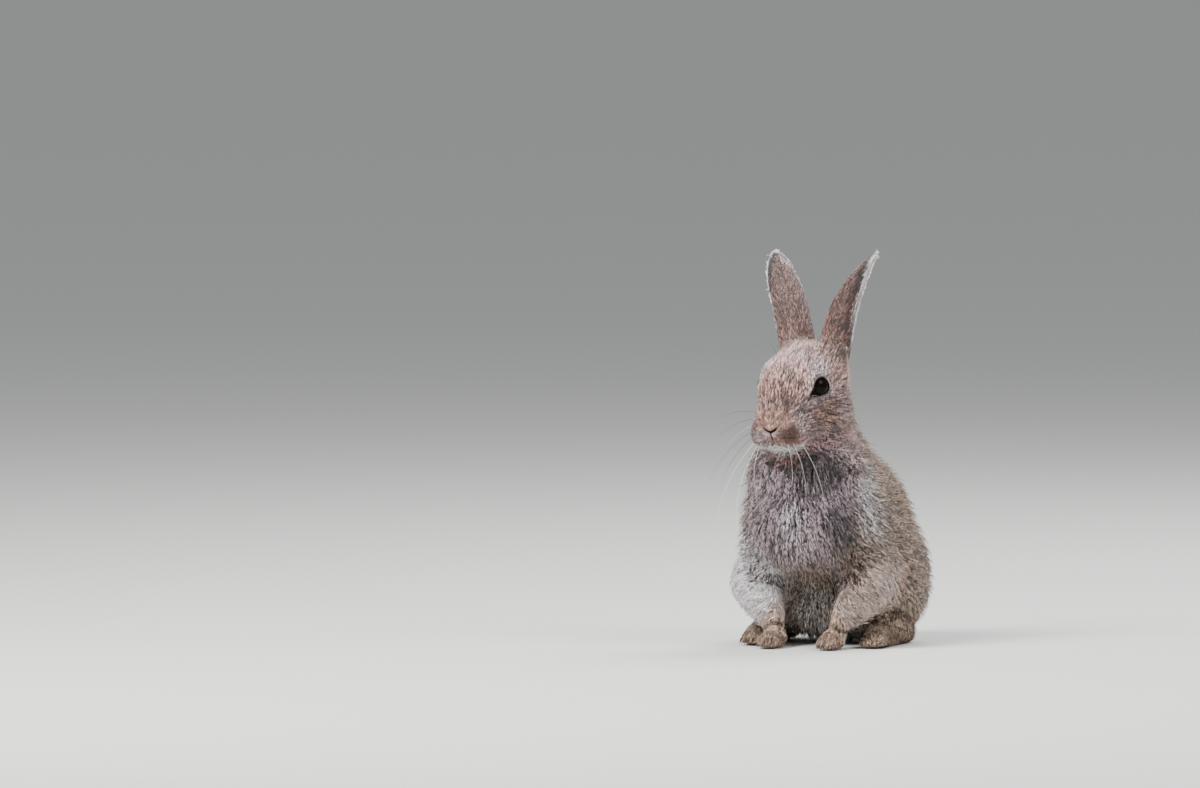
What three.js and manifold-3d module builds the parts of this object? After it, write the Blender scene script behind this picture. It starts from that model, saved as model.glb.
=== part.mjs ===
// A young European rabbit sitting upright on the floor, life size, in millimetres.
// It faces -Y, its left side is +X and +Z is up. The origin is on the floor, under the
// middle of its box. The outer shape is that of the coat: flesh, skin and fur together.
import * as THREE from "three";
import { mergeVertices } from "three/addons/utils/BufferGeometryUtils.js";
import Module from "manifold-3d";

const wasm = await Module();
wasm.setup();

// ---- Driving dimensions -------------------------------------------------------------

const GAP = 0.3; // between neighbouring parts
const degrees = THREE.MathUtils.degToRad;

// Head: its own frame has the nose tip at the origin, +Y to the back of the skull, +Z up.
const HEAD = {
  forward: 66.2, // nose tip in front of the neck's axis
  height: 125, // nose tip over the floor
  pitch: degrees(28), // muzzle down
  yaw: degrees(-7), // turned to the animal's right
};
const EYE = { side: 15.1, back: 37, up: 8.8, radius: 7 };
const EAR = {
  length: 68,
  back: 58.8, // foot of the ear's axis behind the nose tip, in the head's upright frame
  up: 37, // above the nose tip
  wall: 3, // thickness with its fur
  footRadius: 9.7, // radius of the roll at the foot
  tipRadius: 9, // and near the tip
  footArc: degrees(158), // half the arc of the roll at the foot
  tipArc: degrees(58), // and near the tip
  rounding: 0.56, // share of the length where the sides start to draw in
  bow: 4.4, // how far the middle of its length bows inwards
};
// Each ear turns on its own. side: foot of its axis from the middle; splay and lean: how
// far it goes sideways and backwards for each unit up; opening: how far its mouth turns
// back from the side.
const EAR_SET = {
  1: { side: 10.5, splay: 0.307, lean: 0.263, opening: degrees(22) },
  "-1": { side: 12.1, splay: 0.361, lean: 0.192, opening: degrees(35) },
};

// Body. The collar is the plane between neck and trunk.
const COLLAR = { back: -6, height: 104, tilt: -0.25 };

// Legs, in the body's frame, the left one of each pair.
const SHOULDER = { side: 29, front: -13, height: 70, radius: 14 };
const ELBOW = { side: 35, front: -18, height: 36, radius: 12.3 };
const WRIST = { side: 18, front: -29, height: 11, radius: 7.2 };
const FOREPAW = { length: 17, height: 6, radius: 7, toeSpread: 4.2, toeRadius: 2.7 };
const HIND_FOOT = { side: 35, heel: 42, length: 68, radius: 8, toeSpread: 4.8, toeRadius: 3.4 };

// ---- Shaping tools ------------------------------------------------------------------

const at = (x, y, z) => new THREE.Vector3(x, y, z);

// A mass is a function: how far a point lies outside it, in millimetres.
// ball: an ellipsoid of the given radii.
function ball(centre, radii) {
  return (point) => {
    const near = point.clone().sub(centre).divide(radii);
    const steep = near.clone().divide(radii).length();
    const reach = near.length();
    return steep < 1e-9 ? -Math.min(...radii) : (reach * (reach - 1)) / steep;
  };
}

// rod: a round bar from one point to another, its radius running from one value to the next.
function rod(from, to, radiusFrom, radiusTo) {
  const axis = to.clone().sub(from);
  return (point) => {
    const along = point.clone().sub(from).dot(axis) / axis.lengthSq();
    const share = THREE.MathUtils.clamp(along, 0, 1);
    const nearest = from.clone().addScaledVector(axis, share);
    const radius = THREE.MathUtils.lerp(radiusFrom, radiusTo, share);
    return point.distanceTo(nearest) - radius;
  };
}

// Two masses run together, with the hollow between them filled over the given softness.
function blend(softness, a, b) {
  const near = Math.max(softness - Math.abs(a - b), 0) / softness;
  return Math.min(a, b) - (near * near * softness) / 4;
}
const flow = (softness, ...masses) => (point) =>
  masses.map((mass) => mass(point)).reduce((a, b) => blend(softness, a, b));

// The same masses on both sides of the plane x = 0.
const pair = (make) => [make(1), make(-1)];

// Where a line from the centre last leaves a mass grown by the margin, as a share of it.
function lastCrossing(mass, centre, line, margin) {
  const steps = 40;
  const halvings = 14;
  const inside = (share) => mass(centre.clone().addScaledVector(line, share)) < margin;
  let low = 1;
  while (low > 1 / steps && !inside(low)) low -= 1 / steps;
  let high = low + 1 / steps;
  for (let round = 0; round < halvings; round++) {
    const middle = (low + high) / 2;
    if (inside(middle)) low = middle;
    else high = middle;
  }
  return low;
}

// A closed skin drawn over a mass: each corner of a stretched sphere is pulled in along
// its line to the centre until it meets the mass's outermost surface, plus a margin.
function wrap(mass, centre, reach, detail, margin) {
  const skin = new THREE.IcosahedronGeometry(1, detail);
  const corners = skin.getAttribute("position");
  for (let i = 0; i < corners.count; i++) {
    const line = at(0, 0, 0).fromBufferAttribute(corners, i).multiply(reach);
    const share = lastCrossing(mass, centre, line, margin);
    const corner = centre.clone().addScaledVector(line, share);
    corners.setXYZ(i, corner.x, corner.y, corner.z);
  }
  return skin;
}

// From a closed geometry to a solid that can be joined and cut, and back.
function solidOf(geometry, place = new THREE.Matrix4()) {
  const bare = geometry.clone().applyMatrix4(place);
  bare.deleteAttribute("normal");
  bare.deleteAttribute("uv");
  const merged = mergeVertices(bare, 1e-3);
  const mesh = new wasm.Mesh({
    numProp: 3,
    vertProperties: new Float32Array(merged.getAttribute("position").array),
    triVerts: new Uint32Array(merged.index.array),
  });
  return new wasm.Manifold(mesh);
}

function geometryOf(solid) {
  const mesh = solid.getMesh();
  const corners = new Float32Array(mesh.numVert * 3);
  for (let i = 0; i < mesh.numVert; i++) {
    const first = i * mesh.numProp;
    corners.set(mesh.vertProperties.subarray(first, first + 3), i * 3);
  }
  const geometry = new THREE.BufferGeometry();
  geometry.setAttribute("position", new THREE.BufferAttribute(corners, 3));
  geometry.setIndex(new THREE.BufferAttribute(mesh.triVerts, 1));
  geometry.computeVertexNormals();
  return geometry;
}

// What rests on the floor is cut flat at floor level.
const onFloor = (solid) => solid.trimByPlane([0, 0, 1], 0);

// ---- Head and eyes ------------------------------------------------------------------

// The upright frame is turned with the head but not tipped: the ears are set by it.
const upright = new THREE.Matrix4()
  .makeRotationZ(HEAD.yaw)
  .multiply(new THREE.Matrix4().makeTranslation(0, -HEAD.forward, HEAD.height));
const headFrame = upright.clone().multiply(new THREE.Matrix4().makeRotationX(HEAD.pitch));

const headMass = flow(
  5,
  ball(at(0, 54, 4.5), at(22.5, 25, 20.5)), // braincase
  ball(at(0, 37, 6.5), at(20.4, 25.5, 19.5)), // forehead
  ball(at(0, 21, -1), at(17.2, 19, 15)), // bridge of the nose
  ball(at(0, 7.5, -1.5), at(10.6, 7.5, 7.4)), // nose
  ...pair((side) => ball(at(side * 9, 10.5, -7.5), at(9.6, 9.5, 9.5))), // whisker pads
  ball(at(0, 15, -15.5), at(9, 12, 6.5)), // chin
  ...pair((side) => ball(at(side * 10.5, 27, -8), at(9.5, 14, 13))), // jowls
  ...pair((side) => ball(at(side * 14, 44.5, -12.5), at(14, 21.5, 17))), // cheeks
  rod(at(0, 18, -12), at(0, 52, -17), 9, 13.5), // lower jaw
  ...pair((side) => ball(at(side * 13, 43, 14.5), at(7, 10, 7))), // brows
  ...pair((side) => rod(at(side * 12, 63, 0), at(side * 11, 66, 14), 9.5, 9.5)), // ear roots
);
const headMiddle = at(0, 42, -2);
const headReach = at(36, 56, 38);
const headDetail = 7;
const headSkin = (margin) =>
  solidOf(wrap(headMass, headMiddle, headReach, headDetail, margin), headFrame);

function eyeball(side, margin) {
  const globe = new THREE.IcosahedronGeometry(EYE.radius + margin, 2);
  const socket = new THREE.Matrix4().makeTranslation(side * EYE.side, EYE.back, EYE.up);
  return solidOf(globe, headFrame.clone().multiply(socket));
}

// ---- Ears ---------------------------------------------------------------------------

// The ear is a leaf rolled about its own axis: nearly a tube at the foot, open higher up,
// nearly flat at the rounded tip. arc is half the arc of the roll at a share of the length.
function earSection(share) {
  const { footRadius, tipRadius, footArc, tipArc, rounding, bow } = EAR;
  const radius = THREE.MathUtils.lerp(footRadius, tipRadius, share ** 0.7);
  const drawIn = Math.max(share - rounding, 0) / (1 - rounding);
  const fullness = Math.sqrt(Math.max(0, 1 - drawIn ** 2.6));
  const arc = THREE.MathUtils.lerp(footArc, tipArc, share ** 1.3) * fullness;
  const shift = radius * share ** 3 - bow * Math.sin(Math.PI * share);
  return { radius, arc, fullness, shift };
}

// A sphere is spread over the leaf: its height runs along the ear, its turn runs up the
// outside of the roll, round the rim and down the inside. Both poles are closed.
function ear() {
  const footEnd = 0.03;
  const rimStart = 2.5;
  const leaf = new THREE.SphereGeometry(1, 14, 14);
  const corners = leaf.getAttribute("position");
  for (let i = 0; i < corners.count; i++) {
    const spot = at(0, 0, 0).fromBufferAttribute(corners, i).normalize();
    const share = THREE.MathUtils.clamp((1 - spot.y) / 2, 0, 1);
    const turn = Math.atan2(spot.z, spot.x);
    const { radius, arc, fullness, shift } = earSection(share);
    const foot = Math.sqrt(Math.min(1, share / footEnd));
    const across = Math.cos(turn) * arc * foot;
    const taper = Math.min(1, fullness * rimStart);
    const wall = EAR.wall * THREE.MathUtils.lerp(0.55, 1, fullness) * taper * foot;
    const roll = radius + (Math.sin(turn) * wall) / 2;
    const x = shift - roll * Math.cos(across);
    corners.setXYZ(i, x, roll * Math.sin(across), EAR.length * share);
  }
  return leaf;
}

// The ear's axis splays and leans, and its mouth opens to the side and back.
function earSolid(side) {
  const set = EAR_SET[side];
  const axis = at(side * set.splay, set.lean, 1).normalize();
  const mouth = at(side * Math.cos(set.opening), Math.sin(set.opening), 0);
  mouth.addScaledVector(axis, -mouth.dot(axis)).normalize();
  const turn = new THREE.Matrix4().makeBasis(mouth, axis.clone().cross(mouth), axis);
  const foot = new THREE.Matrix4().makeTranslation(side * set.side, EAR.back, EAR.up);
  return solidOf(ear(), upright.clone().multiply(foot).multiply(turn));
}

// ---- Body ---------------------------------------------------------------------------

const shoulder = (side) => at(side * SHOULDER.side, SHOULDER.front, SHOULDER.height);
const elbow = (side) => at(side * ELBOW.side, ELBOW.front, ELBOW.height);
const wrist = (side) => at(side * WRIST.side, WRIST.front, WRIST.height);
const upperArm = (side) =>
  rod(shoulder(side), elbow(side), SHOULDER.radius, ELBOW.radius);

const bodyMass = flow(
  12,
  ball(at(0, -17, 94), at(37, 36, 27)), // upper chest
  ball(at(0, -20, 104), at(36, 30, 17)), // ruff
  ball(at(0, -14, 71), at(38.5, 40, 30)), // chest and shoulders
  ball(at(0, 20, 76), at(39.8, 44.5, 36.5)), // back
  rod(at(0, -2, 104), at(0, -10, 134), 22, 19.5), // neck
  ball(at(0, 10, 112), at(13.5, 21, 26)), // nape
  ball(at(0, 36, 47), at(42.5, 46, 44)), // rump
  ...pair((side) => ball(at(side * 31, 28, 34), at(19, 36, 34))), // haunches
  ...pair(upperArm),
  ball(at(0, 20, 22), at(30, 30, 20)), // belly
);
const bodyMiddle = at(0, 14, 60);
const bodyReach = at(75, 105, 105);
const bodyDetail = 6;
const bodyWhole = onFloor(
  solidOf(wrap(bodyMass, bodyMiddle, bodyReach, bodyDetail, 0)),
);

const tailMass = flow(
  5,
  rod(at(0, 70, 20), at(0, 81, 27), 9, 10), // root
  rod(at(0, 81, 27), at(0, 86, 42), 10, 6.5), // upturned end
);
const tailSkin = (margin) =>
  solidOf(wrap(tailMass, at(0, 81, 26), at(20, 26, 34), 3, margin));

// ---- Legs and feet ------------------------------------------------------------------

// The foreleg down to the wrist. Its upper arm lies within the shoulder.
const forelegMass = (side) =>
  flow(
    8,
    upperArm(side),
    rod(elbow(side), elbow(side).lerp(wrist(side), 0.35), ELBOW.radius, 11), // elbow fur
    rod(elbow(side), wrist(side), 11, WRIST.radius), // forearm
  );
function forelegSkin(side, margin) {
  const middle = elbow(side).lerp(wrist(side), 0.15);
  return solidOf(wrap(forelegMass(side), middle, at(32, 32, 60), 3, margin));
}

// Four toes spread evenly from -spread to +spread.
const toesAcross = (spread) => [-1, -1 / 3, 1 / 3, 1].map((share) => share * spread);

function forepawMass(side) {
  const heel = wrist(side).setZ(FOREPAW.height);
  const toeBall = heel.clone().add(at(0, -11, -1.4));
  const toe = (across) => {
    const knuckle = heel.clone().add(at(across, -11, -2));
    const tip = heel.clone().add(at(across * 1.15, -FOREPAW.length, -3.4));
    tip.y += Math.abs(across) / 2;
    return rod(knuckle, tip, FOREPAW.toeRadius, 2.3);
  };
  const toes = toesAcross(FOREPAW.toeSpread).map(toe);
  return flow(3, rod(heel, toeBall, FOREPAW.radius, 6.2), ...toes);
}
function forepawSkin(side, margin) {
  const middle = wrist(side).add(at(0, -7, -6));
  return solidOf(wrap(forepawMass(side), middle, at(16, 24, 16), 3, margin));
}

function hindFootMass(side) {
  const { heel, length, radius, toeSpread, toeRadius } = HIND_FOOT;
  const toeEnd = heel - length;
  const heelBall = at(side * HIND_FOOT.side, heel - radius, 7);
  const toeBall = at(heelBall.x + side * 1.5, toeEnd + 16, 6);
  const instep = at(heelBall.x, 10, 12);
  const toe = (across) => {
    const knuckle = at(toeBall.x + across, toeEnd + 15, 4.5);
    const tip = at(toeBall.x + across * 1.2, toeEnd + 2.6, 3);
    tip.y += Math.abs(across) * 0.6;
    return rod(knuckle, tip, toeRadius, 2.6);
  };
  const toes = toesAcross(toeSpread).map(toe);
  const sole = rod(heelBall, toeBall, radius, radius);
  return flow(4, sole, rod(heelBall, instep, radius, 9), ...toes);
}
function hindFootSkin(side, margin) {
  const middle = at(side * HIND_FOOT.side, 6, 7);
  return solidOf(wrap(hindFootMass(side), middle, at(22, 56, 26), 4, margin));
}

// ---- Cutting the whole into its parts -----------------------------------------------

const collarUp = at(0, COLLAR.tilt, 1).normalize();
const collarLevel = collarUp.dot(at(0, COLLAR.back, COLLAR.height));
const collarDown = collarUp.clone().negate();
const aboveCollar = (solid) =>
  solid.trimByPlane(collarUp.toArray(), collarLevel + GAP / 2);
const belowCollar = (solid) =>
  solid.trimByPlane(collarDown.toArray(), GAP / 2 - collarLevel);

// A limb's root is the part of the whole that lies inside a rounded cutter.
function cutter(centre, radii, detail, margin) {
  const reach = radii.clone().multiplyScalar(1.6);
  return solidOf(wrap(ball(centre, radii), centre, reach, detail, margin));
}
const haunchCutter = (side, margin) =>
  cutter(at(side * 41, 28, 32), at(21, 36, 36), 2, margin);
const shoulderCutter = (side, margin) =>
  cutter(at(side * 38, -15, 60), at(18, 20, 28), 2, margin);

const furLook = (color) => new THREE.MeshStandardMaterial({ color, roughness: 0.95, metalness: 0 });
const bodyCoat = furLook(0x99857a);
const earCoat = furLook(0x84706a);
const pawCoat = furLook(0xb39a86);
const tailCoat = furLook(0xcfc6bd);
const eyeGloss = new THREE.MeshStandardMaterial({ color: 0x140d0b, roughness: 0.1, metalness: 0 });

const rabbit = new THREE.Group();

// Crumbs left between two cutters are dropped: a part is the largest body of its cut.
function part(name, solid, material) {
  const bodies = solid.decompose().sort((a, b) => b.volume() - a.volume());
  const mesh = new THREE.Mesh(geometryOf(bodies[0]), material);
  mesh.name = name;
  rabbit.add(mesh);
}

const sides = [
  ["left", 1],
  ["right", -1],
];

let head = headSkin(0);
const headGrown = headSkin(GAP);
for (const [word, side] of sides) {
  part(`eye_${word}`, eyeball(side, 0), eyeGloss);
  head = head.subtract(eyeball(side, GAP));
  part(`ear_${word}`, earSolid(side).subtract(headGrown), earCoat);
}
part("head", head, bodyCoat);

const body = bodyWhole.subtract(headGrown);
part("neck", aboveCollar(body), bodyCoat);
let trunk = belowCollar(body);

part("tail", onFloor(tailSkin(0)), tailCoat);
trunk = trunk.subtract(tailSkin(GAP));

for (const [word, side] of sides) {
  part(`forepaw_${word}`, onFloor(forepawSkin(side, 0)), pawCoat);
  const root = trunk.intersect(shoulderCutter(side, 0));
  const foreleg = forelegSkin(side, 0).add(root).subtract(forepawSkin(side, GAP));
  part(`foreleg_${word}`, foreleg, bodyCoat);
  trunk = trunk.subtract(shoulderCutter(side, GAP)).subtract(forelegSkin(side, GAP));
}

for (const [word, side] of sides) {
  part(`hind_foot_${word}`, onFloor(hindFootSkin(side, 0)), pawCoat);
  trunk = trunk.subtract(hindFootSkin(side, GAP));
  part(`thigh_${word}`, trunk.intersect(haunchCutter(side, 0)), bodyCoat);
  trunk = trunk.subtract(haunchCutter(side, GAP));
}
part("trunk", trunk, bodyCoat);

// The whole is moved so that the origin lies under the middle of its box.
const middle = new THREE.Box3().setFromObject(rabbit).getCenter(at(0, 0, 0));
rabbit.position.set(-middle.x, -middle.y, 0);

export default rabbit;
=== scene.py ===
"""A young European rabbit sitting upright and alert, as a still, life-size museum model.

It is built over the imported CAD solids: glass eyes, one skin, a coat of fine tufts that
lies along the body, lids, nose, claws and whiskers. Metres, facing -Y, +Z up.
"""

import math

import bmesh
import bpy
import numpy as np
from mathutils import Matrix, Vector
from mathutils.bvhtree import BVHTree
from mathutils.kdtree import KDTree


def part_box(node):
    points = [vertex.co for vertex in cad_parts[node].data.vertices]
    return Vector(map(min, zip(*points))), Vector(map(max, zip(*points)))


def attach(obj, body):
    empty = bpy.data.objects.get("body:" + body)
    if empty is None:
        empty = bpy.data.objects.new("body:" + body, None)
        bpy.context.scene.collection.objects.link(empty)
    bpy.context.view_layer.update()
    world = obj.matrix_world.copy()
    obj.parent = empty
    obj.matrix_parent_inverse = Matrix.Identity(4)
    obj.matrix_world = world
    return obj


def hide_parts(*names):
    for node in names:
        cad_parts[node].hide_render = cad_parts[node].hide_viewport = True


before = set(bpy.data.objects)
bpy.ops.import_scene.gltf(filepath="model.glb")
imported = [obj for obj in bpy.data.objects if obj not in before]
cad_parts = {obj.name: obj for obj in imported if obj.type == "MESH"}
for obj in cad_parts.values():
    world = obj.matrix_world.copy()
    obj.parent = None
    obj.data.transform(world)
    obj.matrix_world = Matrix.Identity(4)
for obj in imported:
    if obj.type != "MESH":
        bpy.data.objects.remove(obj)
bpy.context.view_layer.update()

# ---- Camera -------------------------------------------------------------------------
# A long lens a little above level, seen from the rabbit's front left. The rabbit sits right
# of the middle of the frame, so the camera aims at a point beside its neck.

VIEW_AZIMUTH, VIEW_ELEVATION = 22, 3
VIEW_DISTANCE = 7.62
AIM_ASIDE = -0.128
AIM_HEIGHT = 0.1434
BODY_AXIS_Y = -0.0128


def towards(azimuth, elevation):
    """A direction by its degrees round from the front to the left, and up."""
    around, above = math.radians(azimuth), math.radians(elevation)
    level = math.cos(above)
    return Vector((math.sin(around) * level, -math.cos(around) * level, math.sin(above)))


def add_object(name, data):
    """Puts a mesh, camera or light in the scene."""
    thing = bpy.data.objects.new(name, data)
    bpy.context.collection.objects.link(thing)
    return thing


def aim_at(thing, middle, direction, distance):
    """Stands a camera or light off a place in a direction, looking back at it."""
    thing.location = middle + direction * distance
    thing.rotation_mode = "QUATERNION"
    thing.rotation_quaternion = direction.to_track_quat("Z", "Y")


camera_data = bpy.data.cameras.new("camera")
camera_data.lens = 400
camera_data.sensor_width = 36
camera_data.clip_end = 100
camera = add_object("camera", camera_data)
view = towards(VIEW_AZIMUTH, VIEW_ELEVATION)
view_turn = view.to_track_quat("Z", "Y")
aim = Vector((0, BODY_AXIS_Y, 0)) + view_turn @ Vector((AIM_ASIDE, AIM_HEIGHT, 0))
aim_at(camera, aim, view, VIEW_DISTANCE)
bpy.context.scene.camera = camera

# ---- Eyes ---------------------------------------------------------------------------
# Each eye is a dark, wet ball: an almost black brown iris with no white showing, under a
# clear cornea. A fine sphere stands for the coarse CAD ball and sits as deep in its lids.


SIDES = ("left", "right")
SIGN = {"left": 1, "right": -1}


def linear(hex_colour):
    """sRGB hex to linear red, green, blue and a full alpha."""
    parts = [int(hex_colour[i : i + 2], 16) / 255 for i in (1, 3, 5)]
    return (*(
        part / 12.92 if part <= 0.04045 else ((part + 0.055) / 1.055) ** 2.4
        for part in parts
    ), 1)


def new_material(name):
    """A node material with nothing in it."""
    material = bpy.data.materials.new(name)
    material.use_nodes = True
    material.node_tree.nodes.clear()
    return material


def add_node(material, kind, inputs=None, links=None, **settings):
    """Adds a shader node with its settings and sockets. A link is a node and its output."""
    tree = material.node_tree
    node = tree.nodes.new("ShaderNode" + kind)
    for name, value in settings.items():
        setattr(node, name, value)
    for name, value in (inputs or {}).items():
        node.inputs[name].default_value = value
    for name, (source, output) in (links or {}).items():
        tree.links.new(source.outputs[output], node.inputs[name])
    return node


def mesh_from(bm, name):
    """Makes a bmesh a mesh, and frees it."""
    mesh = bpy.data.meshes.new(name)
    bm.to_mesh(mesh)
    bm.free()
    return mesh


def add_piece(mesh, material):
    """Makes a mesh a smooth piece that rides on the one body."""
    mesh.shade_smooth()
    mesh.materials.append(material)
    piece = add_object(mesh.name, mesh)
    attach(piece, "root")
    return piece


def box_middle(node):
    low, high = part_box(node)
    return (Vector(low) + Vector(high)) / 2


eye_centre = {side: box_middle(f"eye_{side}") for side in SIDES}
eye_low, eye_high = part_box("eye_left")
EYE_RADIUS = (eye_high[2] - eye_low[2]) / 2

# The head's frame: the nose tip at the origin, +X its left, +Y back along the skull.
HEAD_PITCH = math.radians(28)
EYE_BACK = 0.037
EYE_UP = 0.0088
head_left = (eye_centre["left"] - eye_centre["right"]).normalized()
level_turn = Matrix((head_left, Vector((0, 0, 1)).cross(head_left), (0, 0, 1))).transposed()
head_turn = level_turn @ Matrix.Rotation(HEAD_PITCH, 3, "X")
eyes_between = (eye_centre["left"] + eye_centre["right"]) / 2
nose_tip = eyes_between - head_turn @ Vector((0, EYE_BACK, EYE_UP))

# Wet cornea over a dark iris: near black brown, a little lighter towards the rim.
eye_gloss = new_material("wet dark eye")
place = add_node(eye_gloss, "TexCoord")
iris_noise = add_node(
    eye_gloss, "TexNoise", {"Scale": 900, "Detail": 3}, {"Vector": (place, "Object")})
iris = add_node(eye_gloss, "ValToRGB", links={"Fac": (iris_noise, "Fac")})
for element, colour in zip(iris.color_ramp.elements, ("#050303", "#150b08")):
    element.color = linear(colour)
shader = add_node(
    eye_gloss, "BsdfPrincipled", {"Roughness": 0.08, "IOR": 1.376, "Specular IOR Level": 0.1},
    {"Base Color": (iris, "Color")})
add_node(eye_gloss, "OutputMaterial", links={"Surface": (shader, "BSDF")})

for side in SIDES:
    bm = bmesh.new()
    bmesh.ops.create_uvsphere(
        bm, u_segments=40, v_segments=24, radius=EYE_RADIUS,
        matrix=Matrix.Translation(eye_centre[side]),
    )
    eye = add_piece(mesh_from(bm, f"eyeball_{side}"), eye_gloss)
    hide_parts(f"eye_{side}")

# ---- Skin ---------------------------------------------------------------------------
# One skin runs over head, neck, trunk, legs, ears and tail, so no seam shows. The solids
# are grown together, smoothed, and drawn in by the depth of the coat that covers them.

FLESH = ["head", "neck", "trunk", "tail"] + [
    f"{part}_{side}"
    for part in ("ear", "thigh", "foreleg", "forepaw", "hind_foot")
    for side in SIDES
]
PART_OF = [node.removesuffix("_left").removesuffix("_right") for node in FLESH]
SKIN_VOXEL = 0.00123
SMOOTHING_ROUNDS = 36
# Per part: how far the solid is grown before the joining, so that gaps and creases close,
# how much its facets smooth, and how deep the coat stands over the skin. In metres.
PARTS = {
    "head": (0.0004, 0.45, 0.0022), "neck": (0.0015, 1, 0.0046), "trunk": (0.0015, 1, 0.0050),
    "tail": (0.0005, 0.7, 0.0045), "ear": (0.0009, 0.4, 0.0006),
    "thigh": (0.0015, 1, 0.0046), "foreleg": (0.0015, 0.9, 0.0028),
    "forepaw": (0.0005, 0.25, 0.0009), "hind_foot": (0.0005, 0.35, 0.0011),
}
GROWTH, SMOOTHNESS, COAT_DEPTH = range(3)


def unit(vectors):
    return vectors / np.maximum(np.linalg.norm(vectors, axis=-1, keepdims=True), 1e-12)


def dot(a, b):
    return (a * b).sum(-1)


def smoothstep(low, high, value):
    share = np.clip((value - low) / (high - low), 0, 1)
    return share * share * (3 - 2 * share)


def read(items, field, width, kind=float):
    """One field of a mesh's corners, edges or faces as an array."""
    values = np.empty(len(items) * width, dtype=kind)
    items.foreach_get(field, values)
    return values.reshape(-1, width)


def mesh_arrays(mesh):
    """A mesh's corners, edges and triangles."""
    mesh.calc_loop_triangles()
    return (
        read(mesh.vertices, "co", 3), read(mesh.edges, "vertices", 2, np.int64),
        read(mesh.loop_triangles, "vertices", 3, np.int64),
    )


def point_normals(points, triangles):
    """Area-weighted normal at each corner."""
    a, b, c = (points[triangles[:, i]] for i in range(3))
    across = np.cross(b - a, c - a)
    total = np.zeros_like(points)
    for i in range(3):
        for axis in range(3):
            total[:, axis] += np.bincount(
                triangles[:, i], across[:, axis], minlength=len(points)
            )
    return unit(total)


def neighbour_mean(values, edges):
    """The mean over each corner's neighbours."""
    count = np.bincount(edges.ravel(), minlength=len(values))
    total = np.empty_like(values)
    for axis in range(values.shape[1]):
        column = values[:, axis]
        total[:, axis] = np.bincount(
            edges[:, 0], column[edges[:, 1]], minlength=len(values)
        ) + np.bincount(edges[:, 1], column[edges[:, 0]], minlength=len(values))
    return total / np.maximum(count, 1)[:, None]


def relax(values, edges, rounds, share=0.5):
    """Evens values out over the surface; share may differ from corner to corner."""
    for _ in range(rounds):
        values = values + share * (neighbour_mean(values, edges) - values)
    return values


def head_place(world):
    """Places in the head's frame, in millimetres: side, back and up from the nose tip."""
    return (world - np.array(nose_tip)) @ np.array(head_turn) * 1000


# An ear is a leaf rolled about its own axis: nearly a tube at the foot, open higher up,
# nearly flat at the rounded tip. In millimetres, in the head's level frame.
EAR = {
    "length": 68, "back": 58.8, "up": 37, "wall": 3, "foot_radius": 9.7, "tip_radius": 9,
    "foot_arc": 158, "tip_arc": 58, "rounding": 0.56, "bow": 4.4,
}
# Side of the foot, splay, lean, and how far the mouth turns back from the side.
EAR_SET = {"left": (10.5, 0.307, 0.263, 22), "right": (12.1, 0.361, 0.192, 35)}


def ear_section(share):
    """Radius, half arc, fullness and shift of the roll at a share of its length."""
    radius = EAR["foot_radius"] + (EAR["tip_radius"] - EAR["foot_radius"]) * share**0.7
    draw_in = np.maximum(share - EAR["rounding"], 0) / (1 - EAR["rounding"])
    fullness = np.sqrt(np.maximum(0, 1 - draw_in**2.6))
    arc = EAR["foot_arc"] + (EAR["tip_arc"] - EAR["foot_arc"]) * share**1.3
    shift = radius * share**3 - EAR["bow"] * np.sin(math.pi * share)
    return radius, np.radians(arc) * fullness, fullness, shift


def ear_axes(side):
    """The foot of an ear, and its mouth, width and length directions as columns."""
    aside, splay, lean, opening = EAR_SET[side]
    sign = SIGN[side]
    opening = math.radians(opening)
    axis = (level_turn @ Vector((sign * splay, lean, 1))).normalized()
    mouth = level_turn @ Vector((sign * math.cos(opening), math.sin(opening), 0))
    mouth = (mouth - axis * mouth.dot(axis)).normalized()
    foot = nose_tip + level_turn @ Vector((sign * aside, EAR["back"], EAR["up"])) / 1000
    return np.array(foot), np.column_stack((mouth, axis.cross(mouth), axis))


def ear_roll(side, wall_share, inset):
    """The ear as a closed sheet: a fine sphere spread over the leaf, outside and inside."""
    bm = bmesh.new()
    bmesh.ops.create_uvsphere(bm, u_segments=56, v_segments=48, radius=1)
    places = np.array([vert.co for vert in bm.verts])
    share = np.clip((1 - places[:, 2]) / 2, 0, 1)
    turn = np.arctan2(places[:, 1], places[:, 0])
    radius, arc, fullness, shift = ear_section(share)
    foot_round = np.sqrt(np.minimum(1, share / 0.03))
    arc = np.maximum(arc - inset / radius, 0)
    across = np.cos(turn) * arc * foot_round
    wall = EAR["wall"] * wall_share * (0.55 + 0.45 * fullness)
    wall = wall * np.minimum(1, fullness * 2.5) * foot_round
    roll = radius + np.sin(turn) * wall / 2
    local = np.column_stack((
        shift - roll * np.cos(across), roll * np.sin(across),
        EAR["length"] * share - inset * share,
    ))
    foot, axes = ear_axes(side)
    for vert, place in zip(bm.verts, foot + local @ axes.T * 0.001):
        vert.co = place
    bmesh.ops.recalc_face_normals(bm, faces=bm.faces)
    return bm


def onto_ears(points, corner_node, wall_share, inset):
    """Draws the ear corners onto the fine roll, fading out towards the foot."""
    for side in SIDES:
        bm = ear_roll(side, wall_share, inset)
        tree = BVHTree.FromBMesh(bm)
        bm.free()
        foot, axes = ear_axes(side)
        for i in np.flatnonzero(corner_node == FLESH.index(f"ear_{side}")):
            share = ((points[i] - foot) @ axes[:, 2]) * 1000 / EAR["length"]
            pull = smoothstep(0.08, 0.2, share)
            points[i] += (np.array(tree.find_nearest(points[i])[0]) - points[i]) * pull
    return points


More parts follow.
